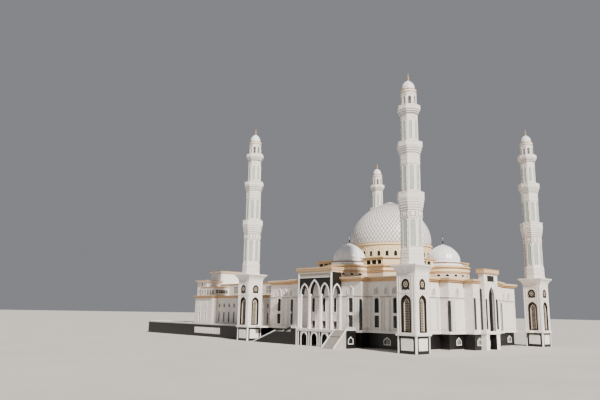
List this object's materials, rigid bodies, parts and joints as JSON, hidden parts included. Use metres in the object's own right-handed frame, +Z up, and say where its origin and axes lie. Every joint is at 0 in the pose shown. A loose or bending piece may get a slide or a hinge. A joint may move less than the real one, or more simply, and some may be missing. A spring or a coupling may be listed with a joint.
{
  "type": "mosque building, 1:10 scale model",
  "caption": "Domed mosque building on a dark stone storey, with corner minarets, an arched portico with opening doors, small portals, outside stairs and a lower wing; 1:10 scale model.",
  "frame": {"origin": "on the ground, under the middle of the main dome, at the centre of the four minarets", "axes": "+Z up, -Y out of the entrance front with the open portico, +X away from the wing"},
  "size_m": [15.133, 8.137, 7.7],
  "materials": {
    "white_marble": "honed",
    "dark_granite": "polished",
    "ochre_stone": "matt",
    "cream_stone": "matt",
    "white_dome_cladding": "satin",
    "window_glass": "clear",
    "dark_wood": "satin",
    "paving_stone": "honed"
  },
  "bodies": {
    "building": {"ground_floor": "paving_stone", "podium_walls": "dark_granite", "main_floor": "white_marble", "front_wall_left": "white_marble", "front_wall_right": "white_marble", "front_wall_over_doors": "white_marble", "door_pier_left": "white_marble", "door_pier_right": "white_marble", "back_wall": "white_marble", "right_wall": "white_marble", "left_wall": "white_marble", "window_glass": "window_glass", "hall_roof": "ochre_stone", "attic_wall": "white_marble", "attic_roof": "cream_stone", "gallery_tier": "cream_stone", "drum": "cream_stone", "main_dome_foot": "white_dome_cladding", "main_dome": "white_dome_cladding", "front_small_dome": "white_dome_cladding", "right_small_dome": "white_dome_cladding", "back_small_dome": "white_dome_cladding", "left_small_dome": "white_dome_cladding", "portico_base": "white_marble", "portico_arcade": "white_marble", "portico_roof": "white_marble", "right_portal_base": "dark_granite", "right_portal": "white_marble", "back_portal_base": "dark_granite", "back_portal": "white_marble", "minaret_front_left_podium": "dark_granite", "minaret_front_left_base": "white_marble", "minaret_front_left_shaft": "white_marble", "minaret_front_left_cupola": "white_dome_cladding", "minaret_front_right_podium": "dark_granite", "minaret_front_right_base": "white_marble", "minaret_front_right_shaft": "white_marble", "minaret_front_right_cupola": "white_dome_cladding", "minaret_back_right_podium": "dark_granite", "minaret_back_right_base": "white_marble", "minaret_back_right_shaft": "white_marble", "minaret_back_right_cupola": "white_dome_cladding", "minaret_back_left_podium": "dark_granite", "minaret_back_left_base": "white_marble", "minaret_back_left_shaft": "white_marble", "minaret_back_left_cupola": "white_dome_cladding", "left_stair": "paving_stone", "right_stair": "paving_stone", "wing_podium": "dark_granite", "wing_terrace": "paving_stone", "wing_walls": "white_marble", "wing_roof": "ochre_stone", "wing_upper_storey": "white_marble", "wing_tower": "white_marble"},
    "left_door_left": {"left_door_left_leaf": "dark_wood"},
    "left_door_right": {"left_door_right_leaf": "dark_wood"},
    "middle_door_left": {"middle_door_left_leaf": "dark_wood"},
    "middle_door_right": {"middle_door_right_leaf": "dark_wood"},
    "right_door_left": {"right_door_left_leaf": "dark_wood"},
    "right_door_right": {"right_door_right_leaf": "dark_wood"}
  },
  "joints": [
    {"name": "left_door_left_hinge", "type": "hinge", "parent": "building", "child": "left_door_left", "pos_m": [-0.546, -3.236, 0.625], "axis": [0, 0, 1], "range_deg": [0, 90]},
    {"name": "left_door_right_hinge", "type": "hinge", "parent": "building", "child": "left_door_right", "pos_m": [-0.394, -3.236, 0.625], "axis": [0, 0, -1], "range_deg": [0, 90]},
    {"name": "middle_door_left_hinge", "type": "hinge", "parent": "building", "child": "middle_door_left", "pos_m": [-0.076, -3.236, 0.625], "axis": [0, 0, 1], "range_deg": [0, 90]},
    {"name": "middle_door_right_hinge", "type": "hinge", "parent": "building", "child": "middle_door_right", "pos_m": [0.076, -3.236, 0.625], "axis": [0, 0, -1], "range_deg": [0, 90]},
    {"name": "right_door_left_hinge", "type": "hinge", "parent": "building", "child": "right_door_left", "pos_m": [0.394, -3.236, 0.625], "axis": [0, 0, 1], "range_deg": [0, 90]},
    {"name": "right_door_right_hinge", "type": "hinge", "parent": "building", "child": "right_door_right", "pos_m": [0.546, -3.236, 0.625], "axis": [0, 0, -1], "range_deg": [0, 90]}
  ]
}
